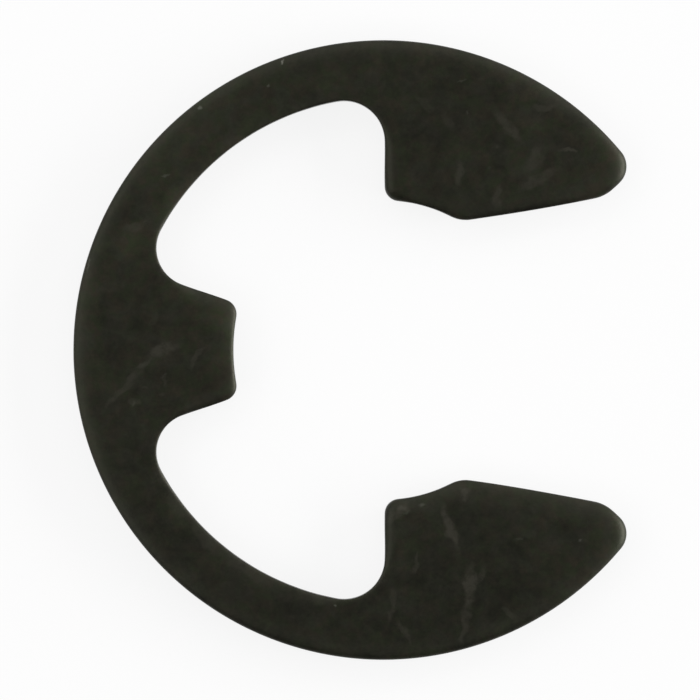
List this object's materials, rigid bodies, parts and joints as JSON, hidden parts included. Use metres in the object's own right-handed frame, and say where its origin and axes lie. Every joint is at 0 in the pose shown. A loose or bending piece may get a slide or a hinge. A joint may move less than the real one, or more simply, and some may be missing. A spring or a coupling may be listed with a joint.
{
  "type": "e-clip",
  "caption": "Flat spring-steel e-clip that is pushed sideways into a shaft groove and stands proud of the shaft as a shoulder.",
  "frame": {"origin": "on the shaft's axis, at the centre of the circle on which the lugs seat, in the plane of the lower (burr) face", "axes": "+Z is the shaft's axis, from the burr face to the face with the rolled edge; +X points out of the mouth; +Y is across the mouth"},
  "size_m": [0.0109, 0.0122, 0.0007],
  "materials": {
    "spring_steel": "matte"
  },
  "bodies": {
    "root": {"e_clip": "spring_steel"}
  },
  "joints": []
}
